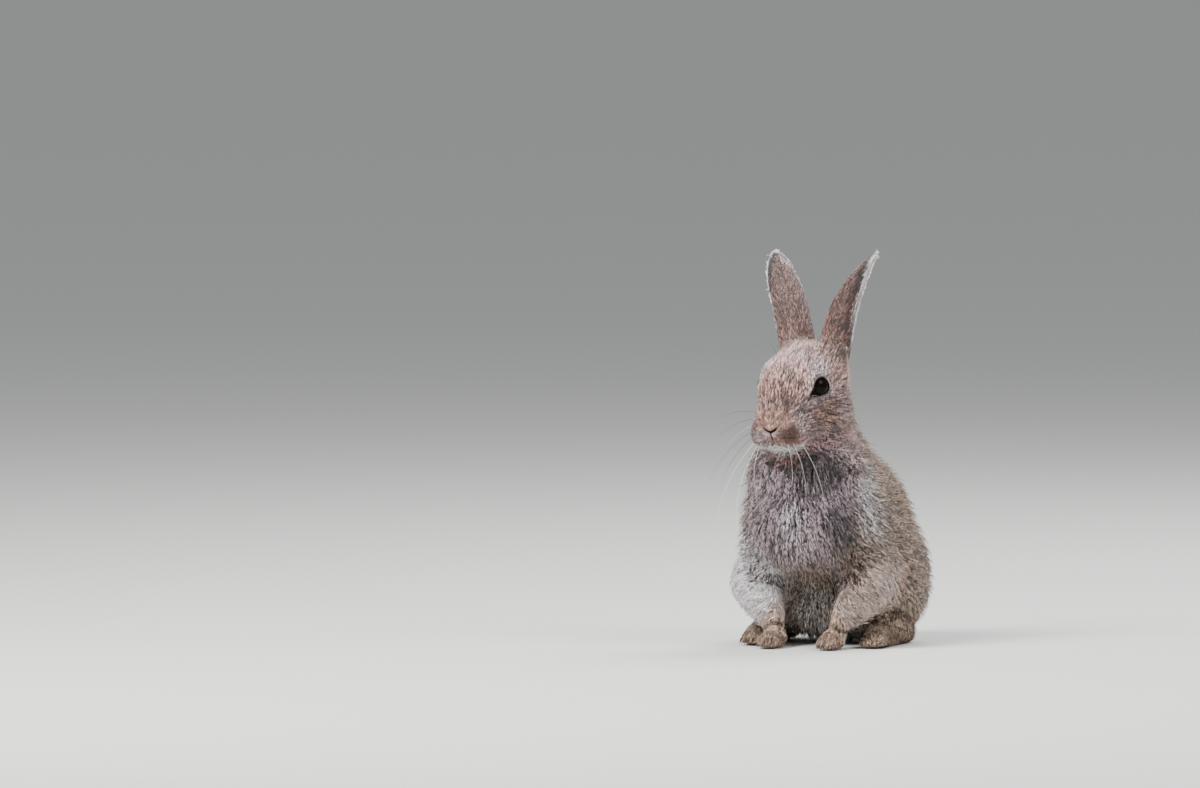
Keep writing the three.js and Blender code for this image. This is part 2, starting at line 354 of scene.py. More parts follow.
# The solids are joined, each grown a little so that the thin gaps between them close.
bm = bmesh.new()
face_node = []
for number, node in enumerate(FLESH):
    if node.startswith("ear"):
        solid = ear_roll(node.removeprefix("ear_"), 1, 0)
    else:
        solid = bmesh.new()
        solid.from_mesh(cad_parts[node].data)
    bmesh.ops.remove_doubles(solid, verts=solid.verts, dist=1e-6)
    solid.normal_update()
    for vert in solid.verts:
        vert.co += vert.normal * PARTS[PART_OF[number]][GROWTH]
    grown = mesh_from(solid, "grown")
    bm.from_mesh(grown)
    face_node += [number] * len(grown.polygons)
    bpy.data.meshes.remove(grown)
face_node = np.array(face_node)
solids_tree = BVHTree.FromBMesh(bm)
joined = mesh_from(bm, "joined")
joined_object = add_object("joined", joined)
remesh = joined_object.modifiers.new("remesh", "REMESH")
remesh.mode = "VOXEL"
remesh.voxel_size = SKIN_VOXEL
depsgraph = bpy.context.evaluated_depsgraph_get()
skin_mesh = bpy.data.meshes.new_from_object(joined_object.evaluated_get(depsgraph))
bpy.data.objects.remove(joined_object)
bpy.data.meshes.remove(joined)
skin_mesh.name = "skin"

# Pockets left inside the joints are dropped: only the largest shell is kept.
points, edges, triangles = mesh_arrays(skin_mesh)
shell = np.arange(len(points))
while True:
    lowest = shell.copy()
    np.minimum.at(lowest, edges[:, 0], shell[edges[:, 1]])
    np.minimum.at(lowest, edges[:, 1], shell[edges[:, 0]])
    lowest = lowest[lowest]
    if (lowest == shell).all():
        break
    shell = lowest
main_shell = np.bincount(shell).argmax()
bm = bmesh.new()
bm.from_mesh(skin_mesh)
bm.verts.ensure_lookup_table()
pockets = [bm.verts[i] for i in np.flatnonzero(shell != main_shell)]
bmesh.ops.delete(bm, geom=pockets, context="VERTS")
bm.to_mesh(skin_mesh)
points, edges, triangles = mesh_arrays(skin_mesh)


def nearest_nodes(points):
    """For each point the solid it lies nearest to, by its number in FLESH."""
    return face_node[[solids_tree.find_nearest(point)[2] for point in points]]


def by_part(table, column, corner_node, edges, rounds=25):
    """One value per skin corner from a column of a table of parts, with soft borders."""
    values = np.array([table[part][column] for part in PART_OF], dtype=float)
    return relax(values[corner_node][:, None], edges, rounds)


def of_part(corner_node, *parts):
    """1 where a corner belongs to one of the parts."""
    return np.isin(corner_node, [i for i, part in enumerate(PART_OF) if part in parts]) * 1.0


UPPER_ARM = 0.050


def parts_at(points):
    """Each corner's part. The upper arm lies in the chest's coat and counts with it."""
    numbers = nearest_nodes(points)
    upper_arm = (of_part(numbers, "foreleg") > 0) & (points[:, 2] > UPPER_ARM)
    numbers[upper_arm] = FLESH.index("trunk")
    return numbers


# Facets are smoothed away, and what that took off the broad form is put back.
corner_node = parts_at(points)
evenness = by_part(PARTS, SMOOTHNESS, corner_node, edges) * 0.5
joined_points = points
points = relax(points, edges, SMOOTHING_ROUNDS, evenness)
outward = point_normals(points, triangles)
lost = dot(joined_points - points, outward)[:, None]
lost -= by_part(PARTS, GROWTH, corner_node, edges)
points = points + outward * relax(lost, edges, 30)
points = onto_ears(points, corner_node, 1, 0)
coat_tree = BVHTree.FromPolygons(points.tolist(), triangles.tolist())

# The skin is drawn in by the coat's depth: least on the nose and lids, most on the chest.
NOSE_DEPTH = 0.0007
CHEEK_EXTRA = 0.0012
CHEST_EXTRA = 0.0022
LID_FADE = 0.0055
EAR_SKIN_WALL = 0.6
EAR_SKIN_INSET = 0.5
outward = point_normals(points, triangles)
face = head_place(points)
is_head = of_part(corner_node, "head")
depth = by_part(PARTS, COAT_DEPTH, corner_node, edges)[:, 0]
muzzle = smoothstep(30, 3, face[:, 1]) * is_head
depth += (NOSE_DEPTH - depth) * muzzle
depth += CHEEK_EXTRA * is_head * (
    smoothstep(-2, -14, face[:, 2]) * smoothstep(18, 34, face[:, 1])
)
depth += CHEST_EXTRA * of_part(corner_node, "trunk", "neck") * (
    smoothstep(-0.022, -0.045, points[:, 1]) * smoothstep(0.040, 0.060, points[:, 2])
    * smoothstep(0.105, 0.085, points[:, 2])
)
eye_gap = np.minimum(
    *(np.linalg.norm(points - np.array(eye_centre[side]), axis=1) for side in SIDES)
) - EYE_RADIUS
depth *= smoothstep(0.0002, LID_FADE, eye_gap)
depth = relax(depth[:, None], edges, 6)
points = relax(points - outward * depth, edges, 2, 0.3)
points = onto_ears(points, corner_node, EAR_SKIN_WALL, EAR_SKIN_INSET)
for vert, point in zip(bm.verts, points):
    vert.co = point

# Finer faces carry the folds of the nose and mouth.
FOLD_MIDDLE = (0, 4, -4)
FOLD_REACH = 12.5
# Per foot, in millimetres: side of its middle, how far its toes' front reaches back and up,
# and how far apart and how far back its clefts lie.
TOES = {"forepaw": (18, -50, 10, 2.9, -52), "hind_foot": (36.5, -27, 9, 3.6, -29)}
TOE_HALF_SPREAD = 9


def on_toes(points):
    """The front of the feet, where the toes part."""
    chosen = np.zeros(len(points), dtype=bool)
    for aside, back, high, *_ in TOES.values():
        near = np.abs(np.abs(points[:, 0] * 1000) - aside) < TOE_HALF_SPREAD
        chosen |= near & (points[:, 1] * 1000 < back) & (points[:, 2] * 1000 < high)
    return chosen


fine = np.linalg.norm(head_place(points) - FOLD_MIDDLE, axis=1) < FOLD_REACH
fine |= on_toes(points)
fine_edges = [
    edge for edge in bm.edges if fine[edge.verts[0].index] and fine[edge.verts[1].index]
]
bmesh.ops.subdivide_edges(bm, edges=fine_edges, cuts=2, use_grid_fill=True)
bmesh.ops.triangulate(bm, faces=[face for face in bm.faces if len(face.verts) > 4])
bm.to_mesh(skin_mesh)
bm.free()
points, edges, triangles = mesh_arrays(skin_mesh)
fine = np.linalg.norm(head_place(points) - FOLD_MIDDLE, axis=1) < FOLD_REACH
points = relax(points, edges, 6, 0.5 * (fine | on_toes(points))[:, None])
normals = point_normals(points, triangles)


def offset_from(face, run):
    """Offsets in the head's frame from a run of points mirrored to both sides."""
    flip = np.ones_like(face)
    flip[:, 0] = np.where(face[:, 0] < 0, -1, 1)
    mirrored = face * flip
    nearest = np.full_like(face, 1e3)
    for start, end in zip(run[:-1], run[1:]):
        start, end = np.array(start, float), np.array(end, float)
        along = end - start
        share = np.clip((mirrored - start) @ along / (along @ along), 0, 1)
        offset = mirrored - start - share[:, None] * along
        closer = np.linalg.norm(offset, axis=1) < np.linalg.norm(nearest, axis=1)
        nearest[closer] = offset[closer]
    return nearest * flip


def beside(face, run):
    return np.linalg.norm(offset_from(face, run), axis=1)


# The folds, in the head's frame: a nostril slit rises from the middle to each side, the
# cleft of the lip drops from it, and the mouth line runs back under the whisker pads.
NOSTRIL = [(0, 0, -0.8), (3, 0.8, 0.6), (6.2, 3.4, 3.0)]
CLEFT = [(0, 0, -0.8), (0, 0.8, -5.5), (0, 2.2, -8.8)]
MOUTH = [(0, 2.2, -8.8), (2.6, 2.6, -11.2), (6, 5, -13.4), (9.5, 10, -14.5)]


def groove(face, run, width, deep):
    return deep * np.exp(-((beside(face, run) / width) ** 2))


fold_place = head_place(points + normals * NOSE_DEPTH)
fold = (
    groove(fold_place, NOSTRIL, 0.8, 1.2)
    + groove(fold_place, CLEFT, 0.7, 0.8)
    + groove(fold_place, MOUTH, 0.8, 0.8)
)
points -= normals * (fold * 0.001 * fine)[:, None]

# Clefts between the toes, three on each foot, open to the front.
TOE_CLEFT_WIDTH = 0.6
TOE_CLEFT_DEPTH = 0.0011
toe_fold = np.zeros(len(points))
for aside, _, _, apart, back in TOES.values():
    x = np.abs(points[:, 0] * 1000) - aside
    opened = smoothstep(back, back - 4, points[:, 1] * 1000) * (np.abs(x) < TOE_HALF_SPREAD)
    for cleft in (-apart, 0, apart):
        spread = cleft * (1 + 0.12 * opened)
        toe_fold += opened * np.exp(-(((x - spread) / TOE_CLEFT_WIDTH) ** 2))
points -= normals * (toe_fold * TOE_CLEFT_DEPTH * on_toes(points))[:, None]
normals = point_normals(points, triangles)
skin_mesh.vertices.foreach_set("co", points.ravel())
skin_mesh.update()

# Lids: a soft band round each eye, from a rounded rim on the ball out under the skin. The
# opening is an almond, its pointed corner to the front and low.
LID_AXIS = (math.sin(math.radians(77)), -math.cos(math.radians(77)), 0.1)
LID_SEGMENTS = 72
LID_ROWS = 8
LID_REACH = 3.6
LID_THICKNESS = 0.6
LID_RISE = np.array([0.2, 0.5, 0.6, 0.55, 0.4, 0.25, 0.05, -0.4])
# Forward and up from the middle of the ball, in millimetres, round from the front corner.
OPENING = [
    (10.4, 0.0), (8.5, 1.5), (5.4, 3.8), (1.4, 5.3), (-2.0, 4.4), (-3.3, 0.8),
    (-2.8, -1.9), (-0.1, -3.1), (4.5, -2.7), (8.2, -1.4),
]


def eye_frame(side):
    """Turns an eye's own outward, forward and up into world directions, as columns."""
    outward = (head_turn @ Vector((SIGN[side] * LID_AXIS[0], *LID_AXIS[1:]))).normalized()
    forward = head_turn @ Vector((0, -1, 0))
    forward = (forward - outward * forward.dot(outward)).normalized()
    up = head_turn @ Vector((0, 0, 1))
    up = (up - outward * up.dot(outward) - forward * up.dot(forward)).normalized()
    return np.column_stack((outward, forward, up))


def curve_between(a, b, c, d, t):
    """A place at a share t from b to c on the smooth curve through four places."""
    return b + t / 2 * (c - a + t * (2 * a - 5 * b + 4 * c - d + t * (3 * b - 3 * c + d - a)))


def opening_at(share):
    """The almond's outline: a smooth closed curve through its corners."""
    first = int(share * len(OPENING))
    corners = [np.array(OPENING[(first + i) % len(OPENING)]) for i in (-1, 0, 1, 2)]
    return curve_between(*corners, share * len(OPENING) - first)


lid_outline = np.array([opening_at(i / LID_SEGMENTS) for i in range(LID_SEGMENTS)])
lid_middle = lid_outline.mean(0)


def lid_rows(side, surface):
    """Corners of a lid band, row by row from the rim outwards, then back underneath."""
    frame_of = eye_frame(side)
    middle = np.array(eye_centre[side])
    outwards = unit(lid_outline - lid_middle)
    flats = [
        lid_outline + outwards * LID_REACH * row / (LID_ROWS - 1) for row in range(LID_ROWS)
    ]
    heights = []
    for flat in flats:
        starts = middle + np.column_stack((np.full(len(flat), 20), flat)) @ frame_of.T * 0.001
        hits = [surface.ray_cast(Vector(s), Vector(-frame_of[:, 0])) for s in starts]
        heights.append([20 - hit[3] * 1000 for hit in hits])
    heights = np.array(heights)
    for _ in range(3):
        heights[1:-1] += 0.5 * ((heights[:-2] + heights[2:]) / 2 - heights[1:-1])
        heights += 0.25 * (np.roll(heights, 1, 1) + np.roll(heights, -1, 1) - 2 * heights)
    upper = heights + LID_RISE[:, None]
    lower = upper - LID_THICKNESS
    rows = list(zip(upper, flats)) + list(zip(lower[::-1], flats[::-1]))
    return [middle + np.column_stack(row) @ frame_of.T * 0.001 for row in rows]


def eye_rounds(side):
    """The ball and the eye's front corner, as middles and radii."""
    middle = np.array(eye_centre[side])
    corner = middle + eye_frame(side) @ np.array((4.5, 7.2, 0.2)) * 0.001
    return (middle, EYE_RADIUS), (corner, EYE_RADIUS * 0.45)


def in_opening(points, side, margin):
    """Whether places lie behind the almond, seen along the eye's own axis."""
    out, forward, up = ((points - np.array(eye_centre[side])) @ eye_frame(side) * 1000).T
    around = np.arctan2(up - lid_middle[1], forward - lid_middle[0])
    rim = lid_outline - lid_middle
    rim_turn = np.arctan2(rim[:, 1], rim[:, 0])
    order = np.argsort(rim_turn)
    reach = np.interp(
        around, rim_turn[order], np.linalg.norm(rim, axis=1)[order], period=2 * math.pi
    )
    within = np.hypot(forward - lid_middle[0], up - lid_middle[1]) < reach + margin
    return within & (out > 0) & (out < 12)


bm = bmesh.new()
bm.from_mesh(skin_mesh)
first_lid_corner = len(bm.verts)
surface = bmesh.new()
surface.from_mesh(skin_mesh)
for side in SIDES:
    bmesh.ops.create_uvsphere(
        surface, u_segments=48, v_segments=32, radius=EYE_RADIUS,
        matrix=Matrix.Translation(eye_centre[side]),
    )
surface_tree = BVHTree.FromBMesh(surface)
surface.free()
lid_row_of = []
for side in SIDES:
    rings = []
    for number, row in enumerate(lid_rows(side, surface_tree)):
        ring = bmesh.ops.create_circle(bm, segments=LID_SEGMENTS, radius=1)["verts"]
        for vert, corner in zip(ring, row):
            vert.co = corner
        rings.append(list({edge for vert in ring for edge in vert.link_edges}))
        lid_row_of += [number] * LID_SEGMENTS
    band = []
    for ring, following in zip(rings, rings[1:] + rings[:1]):
        band += bmesh.ops.bridge_loops(bm, edges=ring + following)["faces"]
    bmesh.ops.recalc_face_normals(bm, faces=band)
bm.to_mesh(skin_mesh)
bm.free()
points, edges, triangles = mesh_arrays(skin_mesh)
normals = point_normals(points, triangles)
face = head_place(points)
fold_place = np.vstack((fold_place, face[first_lid_corner:]))
corner_node = parts_at(points)
lid_row = np.full(len(points), -1)
lid_row[first_lid_corner:] = lid_row_of

# ---- Markings, painted light and shade ----------------------------------------------
# The wild colour of a young rabbit: ticked buff on head and flanks, lilac grey on the
# chest, cinnamon on nose and cheeks, white on lips, ear rims and under the tail, with
# painted shade under jaw and chest, in folds and hollows, and painted light on the lit
# shoulder and arm. The skin and every tuft take their colour from this one set.

GROUND = {
    "head": "#b48a81", "neck": "#9c817b", "trunk": "#a58a74", "tail": "#6d5f56",
    "ear": "#7b5d56", "thigh": "#ad9280", "foreleg": "#cfbdb6", "forepaw": "#c8a892",
    "hind_foot": "#c8aa92",
}
# Soft patches in the head's frame, the same on both sides: middle, radii, colour, share.
HEAD_PATCHES = [
    ((5, 46, 25), (18, 24, 11), "#cfa39e", 0.8),  # forehead and crown
    ((0, 30, 22), (10, 15, 7), "#bb928a", 0.5),  # between the eyes
    ((2, 6, 6), (10, 9, 6), "#b48b79", 0.85),  # top of the nose
    ((5, 13, 12), (9, 3, 4), "#87716c", 0.6),  # grey bar over the nose
    ((15, 15, 6), (5, 11, 7), "#b29b96", 0.7),  # grey streaks beside the nose
    ((11, 4.5, -4), (6, 6.5, 6), "#5c3f2a", 0.92),  # cinnamon of the whisker pads
    ((16, 12, -3), (4, 6, 6), "#b5a49e", 0.7),  # pale back edge of the pads
    ((14.5, 28, 14.5), (4, 6, 6), "#a37f6c", 0.6),  # cinnamon in front of the eye
    ((18, 42, 18.5), (5.5, 6, 4.5), "#c6bcc0", 0.9),  # pale patch over the eye
    ((22.5, 48, 7), (3, 4.5, 1.6), "#4b3b39", 0.7),  # painted shade in the crease behind the eye
    ((22, 30, -4), (7, 9, 6), "#996f56", 0.8),  # cinnamon of the cheek
    ((20, 24, -12), (8, 12, 7), "#8b6f5f", 0.6),  # streaks along the lower cheek
    ((25, 50, -8), (6, 11, 13), "#8d726c", 0.6),  # grey back of the cheek
    ((0, 74, 8), (30, 15, 30), "#a0806a", 0.8),  # buff back of the skull
    ((0, 30, -22), (16, 20, 8), "#33261e", 0.95),  # painted shade under the jaw
    ((4, 6, -14), (12, 9, 5.5), "#efe9e3", 0.95),  # white lips and chin
]
# And in the body's own frame, in millimetres from the floor under its middle.
BODY_PATCHES = [
    ((0, 20, 118), (26, 30, 20), "#b0866a", 0.6),  # rufous nape
    ((0, 40, 85), (24, 50, 40), "#977b63", 0.6),  # browner along the back
    ((0, -60, 80), (54, 30, 50), "#a8969f", 0.9),  # lilac grey chest
    ((-5, -70, 72), (19, 14, 19), "#f2e9f0", 0.9),  # whitish tufts in its middle
    ((2, -62, 49), (13, 14, 7), "#bd9f8b", 0.7),  # warm patch low on the chest
    ((12, -34, 32), (8, 16, 18), "#94888b", 0.6),  # inner side of the forelegs
    ((17, -46, 16), (8, 14, 9), "#c4a48e", 0.7),  # tan wrists
    ((0, -6, 14), (22, 46, 26), "#c8beb9", 0.8),  # pale belly
    ((0, 76, 16), (14, 14, 12), "#f2eeea", 0.95),  # white under the tail
]
# Painted light and shade that differ from side to side, as light falls on the pose and
# the turn of the body.
PAINTED_SIDE_LIGHT_AND_SHADE = [
    ((13, -60, 102), (19, 20, 9), "#352925", 0.9),  # dark throat: painted shade under the jaw
    ((26, -54, 62), (11, 17, 22), "#281e23", 0.92),  # painted shade between chest and left arm
    ((15, -55, 47), (16, 16, 7), "#2c2126", 0.88),  # and painted shade under the chest
    ((-17, -52, 44), (8, 16, 11), "#4f454b", 0.7),  # and painted shade between chest and right arm
    ((37, -37, 84), (8.2, 12, 28), "#fff0ee", 1),  # pale strip on the left shoulder: painted light
    ((43, -19, 70), (8, 8, 29), "#33190e", 0.95),  # brown fold behind it: painted shade in the fold
    ((34, -40, 40), (18, 26, 30), "#9c877c", 0.8),  # grey buff left arm: painted shade on the less lit arm
    ((-42, -40, 38), (26, 28, 28), "#fdeef3", 1),  # whitish right arm: painted light on the lit arm
]
# The right side of the muzzle is paler.
MUZZLE_SIDE = [((-8, 4, -5), (5, 6, 5), "#cdb8b8", 0.8)]


def ear_place(world, side):
    """Where points lie on an ear: share of its length, turn round the roll, whether inside
    it, how far from the rim in millimetres, and the ear's axes as columns."""
    foot, axes = ear_axes(side)
    x, y, z = ((world - foot) @ axes * 1000).T
    share = np.clip(z / EAR["length"], 0, 1)
    radius, arc, fullness, shift = ear_section(share)
    across = np.arctan2(y, shift - x)
    inside = smoothstep(0.4, -0.4, np.hypot(shift - x, y) - radius)
    rim_gap = np.minimum((arc - np.abs(across)) * radius, EAR["length"] - z)
    return share, across, inside, rim_gap, axes


def paint(colours, hex_colour, share):
    """Lays a colour over part of the surface."""
    share = np.clip(share, 0, 1)[:, None]
    return colours + (np.array(linear(hex_colour)[:3]) - colours) * share


def both_sides(places):
    return np.column_stack((np.abs(places[:, 0]), places[:, 1], places[:, 2]))


def patch(places, middle, radii):
    """1 in the middle of a patch, falling softly to 0."""
    return smoothstep(1.3, 0.5, np.linalg.norm((places - middle) / radii, axis=1))


marking_and_painted_light = np.array([linear(GROUND[part])[:3] for part in PART_OF])[corner_node]
marking_and_painted_light = relax(marking_and_painted_light, edges, 20)
body = points * 1000
is_head = relax(of_part(corner_node, "head")[:, None], edges, 4)[:, 0]
is_ear = of_part(corner_node, "ear")
for places, patches, where in (
    (both_sides(body), BODY_PATCHES, 1 - is_head), (body, PAINTED_SIDE_LIGHT_AND_SHADE, 1 - is_head),
    (both_sides(face), HEAD_PATCHES, is_head), (face, MUZZLE_SIDE, is_head),
):
    for middle, radii, colour, share in patches:
        marking_and_painted_light = paint(marking_and_painted_light, colour, patch(places, middle, radii) * share * where)
marking_and_painted_light = paint(marking_and_painted_light, "#e2d9d3", is_head * np.exp(-((beside(
    fold_place, [(1.6, 0, -2.6), (4.6, 1.2, -1.1), (8.2, 4.4, 0.9)]) / 1.1) ** 2)))
eye_gap = np.full(len(points), 1.0)
for centre, radius in eye_rounds("left") + eye_rounds("right"):
    eye_gap = np.minimum(eye_gap, np.linalg.norm(points - centre, axis=1) - radius)
marking_and_painted_light = paint(marking_and_painted_light, "#b9aca8", is_head * 0.65 * smoothstep(0.0052, 0.0015, eye_gap))
for side in SIDES:
    share, across, inside, rim_gap, axes = ear_place(points, side)
    mine = corner_node == FLESH.index(f"ear_{side}")
    front, back = SIGN[side] * across < 0, SIGN[side] * across > 0
    outer = 1 - inside
    # Brown foot, paler back edge, painted shade along the left ear's front edge alone, where
    # the shadowed hollow shows past it, the pale inside and painted shade darkening its
    # middle deep in the hollow, a dark band near the tip, and the white rim, which the left
    # ear's front edge has at its tip alone.
    paints_front_shade = side == "left"
    for colour, amount in (
        ("#6f4c42", outer * smoothstep(0.5, 0.1, share) * 0.6),
        ("#dcc6c2", outer * smoothstep(10, 5, rim_gap) * back * 0.8),
        # painted shade along the left ear's front edge: the hollow's shadow
        ("#573028", outer * smoothstep(8, 3.5, rim_gap) * front * paints_front_shade
         * smoothstep(0.95, 0.7, share) * 0.85),
        ("#efe6e2", inside * smoothstep(0.06, 0.2, share)),
        # painted shade darkening the inside deep in the hollow
        ("#7a5750", inside * smoothstep(6, 10, rim_gap) * 0.7),
        ("#33262a", outer * smoothstep(0.5, 0.75, share) * smoothstep(5.5, 3.6, rim_gap)
         * 0.95),
        ("#fbf9f8", (back | (share > 0.86) | (not paints_front_shade))
         * smoothstep(2.0, 1.0, rim_gap) * smoothstep(0.1, 0.25, share)),
    ):
        marking_and_painted_light = paint(marking_and_painted_light, colour, mine * amount)
# Bare skin: the slits, the cleft, the mouth line, the rims of the lids and the skin seen
# behind each eye's opening. All is near black: dark leather on the lid rims, painted
# shade in the slits, cleft and mouth line and behind the opening.
bare = is_head * np.maximum.reduce([
    smoothstep(1.15, 0.7, beside(fold_place, NOSTRIL)),
    smoothstep(0.85, 0.5, beside(fold_place, CLEFT)),
    smoothstep(0.8, 0.45, beside(fold_place, MOUTH)),
])
bare[np.isin(lid_row, (0, 1, 2 * LID_ROWS - 1))] = 1
# The skin seen behind each eye's opening is painted near black as shade.
for side in SIDES:
    bare[in_opening(points, side, 0.4) & (lid_row < 0)] = 1
marking_and_painted_light = paint(marking_and_painted_light, "#54443f", (lid_row == 2) * 0.8)
# near black: dark leather on the lid rims, painted shade in the grooves and eye corners
marking_and_painted_light = paint(marking_and_painted_light, "#0a0606", bare)

# ---- Lie of the coat ----------------------------------------------------------------
# Hair runs back from the nose and round the eyes, up the ears, down and apart over the
# chest, down and back along the flanks, and along the feet to the toes.

EYE_WHORL = 0.005


def world_from_head(directions):
    return directions @ np.array(head_turn).T


def along_surface(directions, normals):
    return unit(directions - normals * dot(directions, normals)[:, None])


side_of = np.where(points[:, 0] > 0, 1.0, -1.0)
from_nose = unit(face - (0, -5, -3))
below = smoothstep(4, -14, face[:, 2]) * smoothstep(8, 30, face[:, 1])
head_lie = world_from_head(from_nose)
head_lie[:, 2] -= 0.55 * below
head_lie[:, 2] += 0.25 * smoothstep(8, 20, face[:, 2])
for side in SIDES:
    for centre, radius in eye_rounds(side):
        from_eye = points - centre
        gap = np.linalg.norm(from_eye, axis=1) - radius
        head_lie += unit(from_eye) * (1.1 * np.exp(-np.maximum(gap, 0) / EYE_WHORL))[:, None]

for run, reach in ((NOSTRIL, 1.6), (CLEFT, 1.2), (MOUTH, 1.4)):
    away = offset_from(fold_place, run)
    gap = np.linalg.norm(away, axis=1)
    head_lie += world_from_head(unit(away)) * (2.5 * np.exp(-((gap / reach) ** 2)))[:, None]

front = smoothstep(0.15, 0.75, -normals[:, 1])
flank_lie = np.tile((0, 0.9, -0.42), (len(points), 1))
back_lie = np.array((0, 0.55, -0.83))
on_back = smoothstep(0.2, 0.7, normals[:, 2] + 0.4 * normals[:, 1])[:, None]
flank_lie = flank_lie + (back_lie - flank_lie) * on_back
spreading = 0.75 * smoothstep(0.110, 0.085, points[:, 2])
chest_lie = np.column_stack((
    spreading * np.clip(points[:, 0] / 0.030, -1.2, 1.2), np.full(len(points), -0.1),
    np.full(len(points), -0.8),
))
trunk_lie = flank_lie + (chest_lie - flank_lie) * front[:, None]

part_lie = {
    "tail": (0, 0.35, 0.94), "forepaw": (0, -1, -0.1), "hind_foot": (0, -1, -0.12),
    "head": head_lie, "thigh": (0, 0.78, -0.62),
    "foreleg": side_of[:, None] * (0.75, 0, 0) + (0, 0.15, -0.62),
}
lie = trunk_lie.copy()
for part, direction in part_lie.items():
    mine = of_part(corner_node, part) > 0
    lie[mine] = np.broadcast_to(direction, lie.shape)[mine]
for side in SIDES:
    share, across, inside, rim_gap, axes = ear_place(points, side)
    mine = corner_node == FLESH.index(f"ear_{side}")
    to_rim = np.sign(across)[:, None] * (
        np.sin(across)[:, None] * axes[:, 0] + np.cos(across)[:, None] * axes[:, 1]
    )
    fan = 0.25 + 1.2 * smoothstep(4, 1, rim_gap)
    lie[mine] = (axes[:, 2] + to_rim * fan[:, None])[mine]
lie = along_surface(lie, normals)
fold_gap = np.minimum(beside(fold_place, NOSTRIL), beside(fold_place, CLEFT + MOUTH[1:]))
loose = np.where((fold_gap < 4) & (is_head > 0.5), 0.04, 0.5)[:, None]
for _ in range(14):
    lie = along_surface(relax(lie, edges, 2, loose), normals)

# ---- Skin, finished -----------------------------------------------------------------
# Thin skin with the shadowed roots of the coat on it: the coat's own markings, darker,
# with fine pores and wrinkles. Bare and leathery only at nose, lips and lid rims.

skin_look = new_material("thin skin under fur")
skin_object = add_piece(skin_mesh, skin_look)
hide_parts(*FLESH)
bpy.context.view_layer.objects.active = skin_object
skin_object.select_set(True)
bpy.ops.object.mode_set(mode="EDIT")
bpy.ops.mesh.select_all(action="SELECT")
bpy.ops.uv.smart_project(angle_limit=math.radians(66), island_margin=0.002)
bpy.ops.object.mode_set(mode="OBJECT")
skin_object.select_set(False)
skin_mesh.uv_layers.active.name = "OFBake"
triangle_loops = read(skin_mesh.loop_triangles, "loops", 3, np.int64)
triangle_uv = read(skin_mesh.uv_layers["OFBake"].uv, "vector", 2)[triangle_loops]


def store(mesh, name, kind, values):
    """Keeps one value or colour per corner on a mesh."""
    if kind == "FLOAT_COLOR":
        values = np.column_stack((values, np.ones(len(values))))
    attribute = mesh.attributes.new(name, kind, "POINT")
    attribute.data.foreach_set("color" if kind == "FLOAT_COLOR" else "value", values.ravel())


store(skin_mesh, "marking_and_painted_light", "FLOAT_COLOR", marking_and_painted_light)
store(skin_mesh, "bare", "FLOAT", np.clip(bare, 0, 1))

# Skin: satin, uneven in tone at about 2 mm, pored at about a third of that.
mark_and_painted_light = add_node(skin_look, "Attribute", attribute_name="marking_and_painted_light")
bare_mark = add_node(skin_look, "Attribute", attribute_name="bare")
place = add_node(skin_look, "TexCoord")
mottle = add_node(
    skin_look, "TexNoise", {"Scale": 500, "Detail": 4}, {"Vector": (place, "Object")})
darker = add_node(
    skin_look, "MapRange", {"To Min": 0.28, "To Max": 0.62}, {"Value": (mottle, "Fac")})
keep = add_node(
    skin_look, "Mix", {"B": 1.0}, {"Factor": (bare_mark, "Fac"), "A": (darker, "Result")},
    data_type="FLOAT")
tinted = add_node(
    skin_look, "VectorMath", links={0: (mark_and_painted_light, "Color"), "Scale": (keep, "Result")},
    operation="SCALE")
pores = add_node(
    skin_look, "TexNoise", {"Scale": 1500, "Detail": 2}, {"Vector": (place, "Object")})
relief = add_node(
    skin_look, "Bump", {"Strength": 0.5, "Distance": 0.0003}, {"Height": (pores, "Fac")})
gloss = add_node(
    skin_look, "MapRange", {"To Min": 0.5, "To Max": 0.05}, {"Value": (bare_mark, "Fac")})
shader = add_node(
    skin_look, "BsdfPrincipled", {"Roughness": 0.55, "IOR": 1.4},
    {"Base Color": (tinted, "Vector"), "Normal": (relief, "Normal"),
     "Specular IOR Level": (gloss, "Result")})
add_node(skin_look, "OutputMaterial", links={"Surface": (shader, "BSDF")})

# ---- Coat ---------------------------------------------------------------------------
# Fine tufts root in the skin and lie over one another along the body. Each is dark slate
# at the root, coloured higher up and pale or dark at the tip, as agouti hair is banded.
# Long ones are bent spikes of seven corners, short ones straight spikes of four.

COAT_SEED = 11
MOST_TUFTS = {"bent": 19800, "straight": 47520}
PATCH_SIZE = 0.003
# In metres: how deep roots sit, how high tips at least stand, and the gap to the floor.
ROOT_SINK, TIP_RISE, FLOOR_GAP = 0.0003, 0.0004, 0.0003
LEAST_ROOM_ON_EARS = 0.0006
# A bent tuft's middle lies at this share of the coat's depth.
MIDDLE_RISE = 0.68
# Clumps: leaders compared, and how little the distance along and the pull along count.
LEADERS_NEAR, ALONG_EASE, ALONG_HOLD = 5, 0.85, 0.8
# Share of dark clumps, their tone, the mean and spread of the others', a tuft's own spread.
DARK_CLUMPS, DARK_TONE, PALE_TONE, PALE_SPREAD, OWN_SPREAD = 0.32, -1.8, 0.8, 0.45, 0.3
# How much of its colour a tuft takes from its root; the rest is from where its tip lies.
ROOT_COLOUR = 0.25
